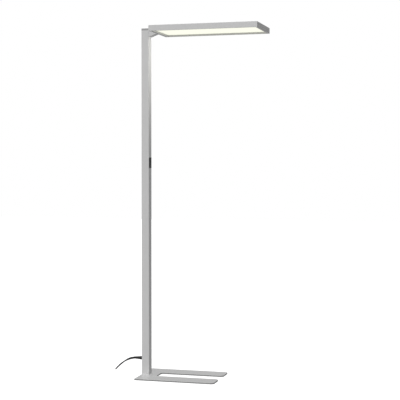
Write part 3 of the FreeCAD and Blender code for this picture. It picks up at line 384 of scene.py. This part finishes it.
def laminate(name):
    """Circuit board: green resin over a woven base, with faint tracks."""
    finish = Finish(name, roughness=0.35)
    weave = finish.add("ShaderNodeTexWave", Scale=900.0, Distortion=0.4)
    tracks = finish.add("ShaderNodeTexBrick", Scale=160.0, Color1=(0.010, 0.075, 0.030, 1),
                        Color2=(0.012, 0.095, 0.038, 1), Mortar=(0.020, 0.140, 0.060, 1))
    for texture in (weave, tracks):
        finish.link(finish.place, texture.inputs["Vector"])
    finish.bump((weave.outputs["Fac"], 0.2, 0.00003))
    return finish.paint(tracks.outputs["Color"])


def foam(name):
    """Dark grey closed-cell foam."""
    finish = Finish(name, roughness=0.9)
    cells = finish.add("ShaderNodeTexVoronoi", Scale=900.0)
    finish.link(finish.place, cells.inputs["Vector"])
    walls = cells.outputs["Distance"]
    finish.bump((walls, 0.8, 0.0004))
    # Painted shade: the colour follows the bump, darkest in the hollow of each cell and lighter
    # towards its raised walls.
    return finish.paint(finish.colour(walls, grey(0.05), grey(0.12), start=0.0, stop=0.6))


def make_finishes():
    """Every CAD node gets the finish of its material slot; the cap and the base have their own."""
    makers = {
        "silver_grey": lambda slot: powder_coat(slot, 0.58),
        "silver_profile": lambda slot: powder_coat(slot, 0.545),
        "black_plastic": lambda slot: moulded(slot, 0.018, 0.45),
        "black_rubber": jacket,
        "opal": opal_panel,
        "clear_acrylic": clear_sheet,
        "white_film": lambda slot: moulded(slot, 0.85, 0.5, grain=900.0),
        "foam_grey": foam,
        "steel": lambda slot: metal(slot, 0.60, 0.32),
        "bare_aluminium": lambda slot: metal(slot, 0.72, 0.36, stretch=(30, 1, 1)),
        "circuit_board": laminate,
        "white_board": lambda slot: moulded(slot, 0.78, 0.4),
        "white_plastic": lambda slot: moulded(slot, 0.72, 0.4),
        "wire_blue": lambda slot: moulded(slot, 0.12, 0.4, warmth=0.4),
        "brass_plated": lambda slot: metal(slot, 0.66, 0.22, stretch=(40, 1, 1), warmth=0.06),
    }
    finishes = {}
    for entry in frame["record"]["subparts"]:
        slot = entry["material_slot"]
        if slot not in finishes:
            finishes[slot] = makers[slot](slot)
        dress(NODES[entry["node"]], finishes[slot])
    dress(NODES["pole_cap"], powder_coat("cap_grey", 0.33))
    # The base plate's upright sides get painted shade, darker than its top.
    dress(NODES["base_plate"], powder_coat("plate_grey", 0.575, painted_side_shade=0.37))
    return finishes


# ---------------------------------------------------------------- light and floor

SKY = 0.37
FLOOR_TONE = 0.44
FLOOR_GLOW = 0.82
FLOOR_SIDE = 24
FLOOR_MIDDLE = (0, 4, -0.0004)          # a hair under the base's pads
KEY_STRENGTH = 2.8
KEY_WAY = (0.12, 0.67, -0.74)
KEY_SPREAD = 25             # degrees
GLOW_POWER = 11.6
GLOW_COLOUR = (1.0, 0.995, 0.96)
GLOW_OUT = 0.47             # from the pole's axis
GLOW_BELOW = 0.006          # under the head's rails
GLOW_RADIUS = 0.03
GLOW_CONE = 88              # degrees
GLOW_DIP = 20               # degrees below level
GLOW_LIGHTS = ("pole_tube", "control_bezel", "key_up", "key_down")


def straight_rays(tree):
    """1 for what the camera sees, straight or through glass, and 0 for all other light."""
    rays = tree.nodes.new("ShaderNodeLightPath")
    either = tree.nodes.new("ShaderNodeMath")
    either.operation = "MAXIMUM"
    tree.links.new(rays.outputs["Is Camera Ray"], either.inputs[0])
    tree.links.new(rays.outputs["Is Transmission Ray"], either.inputs[1])
    return either.outputs[0]


def make_world():
    """Even pale light all round, and plain white where the camera sees past the lamp."""
    world = bpy.data.worlds.new("World")
    bpy.context.scene.world = world
    world.use_nodes = True
    tree = world.node_tree
    background = tree.nodes["Background"]
    background.inputs["Color"].default_value = (SKY, SKY, SKY, 1)
    white = tree.nodes.new("ShaderNodeBackground")
    white.inputs["Color"].default_value = (1, 1, 1, 1)
    mix = tree.nodes.new("ShaderNodeMixShader")
    tree.links.new(straight_rays(tree), mix.inputs["Fac"])
    tree.links.new(background.outputs[0], mix.inputs[1])
    tree.links.new(white.outputs[0], mix.inputs[2])
    tree.links.new(mix.outputs[0], tree.nodes["World Output"].inputs["Surface"])


def make_floor():
    """A pale floor that keeps the lamp's shadow and meets the white behind it without a line."""
    bpy.ops.mesh.primitive_plane_add(size=FLOOR_SIDE, location=FLOOR_MIDDLE)
    floor = bpy.context.object
    floor.name = "floor"
    material = bpy.data.materials.new("floor")
    material.use_nodes = True
    tree = material.node_tree
    shader = tree.nodes["Principled BSDF"]
    shader.inputs["Base Color"].default_value = (FLOOR_TONE, FLOOR_TONE, FLOOR_TONE, 1)
    shader.inputs["Roughness"].default_value = 0.9
    shader.inputs["Specular IOR Level"].default_value = 0.0
    shader.inputs["Emission Color"].default_value = (1, 1, 1, 1)
    level = tree.nodes.new("ShaderNodeMath")
    level.operation = "MULTIPLY"
    level.inputs[1].default_value = FLOOR_GLOW
    tree.links.new(straight_rays(tree), level.inputs[0])
    tree.links.new(level.outputs[0], shader.inputs["Emission Strength"])
    floor.data.materials.append(material)


def gathered(name, nodes):
    """A collection of these nodes, for a lamp's light linking alone."""
    collection = bpy.data.collections.new(name)
    for node in nodes:
        collection.objects.link(NODES[node])
    return collection


def on_the_pole(node):
    """Whether the node's middle lies within the pole's plan."""
    low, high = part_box("pole_tube")
    middle = (Vector(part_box(node)[0]) + Vector(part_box(node)[1])) / 2
    return low[0] < middle.x < high[0] and low[1] < middle.y < high[1]


def make_key():
    """A wide soft sun, in which the pole throws no shadow over the base."""
    data = bpy.data.lights.new("key", "SUN")
    data.energy = KEY_STRENGTH
    data.angle = math.radians(KEY_SPREAD)
    lamp = bpy.data.objects.new("key", data)
    lamp.rotation_euler = Vector(KEY_WAY).to_track_quat("-Z", "Y").to_euler()
    bpy.context.scene.collection.objects.link(lamp)
    blockers = [node for node in NODES if not on_the_pole(node)]
    lamp.light_linking.blocker_collection = gathered("shadows_of_key", blockers)


def make_panel_glow():
    """The light that the lit panel throws back at the upper pole."""
    data = bpy.data.lights.new("panel_glow", "SPOT")
    data.energy = GLOW_POWER
    data.color = GLOW_COLOUR
    data.spot_size = math.radians(GLOW_CONE)
    data.spot_blend = 1.0
    data.shadow_soft_size = GLOW_RADIUS
    lamp = bpy.data.objects.new("panel_glow", data)
    lamp.location = (GLOW_OUT, 0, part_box("rail_near")[0][2] - GLOW_BELOW)
    lamp.rotation_euler = (0, math.radians(90 - GLOW_DIP), 0)
    lamp.visible_camera = False
    lamp.visible_glossy = False
    bpy.context.scene.collection.objects.link(lamp)
    lamp.light_linking.receiver_collection = gathered("lit_by_the_panel", GLOW_LIGHTS)


def make_light():
    make_world()
    make_floor()
    make_key()
    make_panel_glow()
    bpy.context.scene.view_settings.view_transform = "Standard"


make_camera()
lead = make_lead()
finishes = make_finishes()
dress(lead, finishes["black_rubber"])
make_light()

bpy.context.view_layer.update()
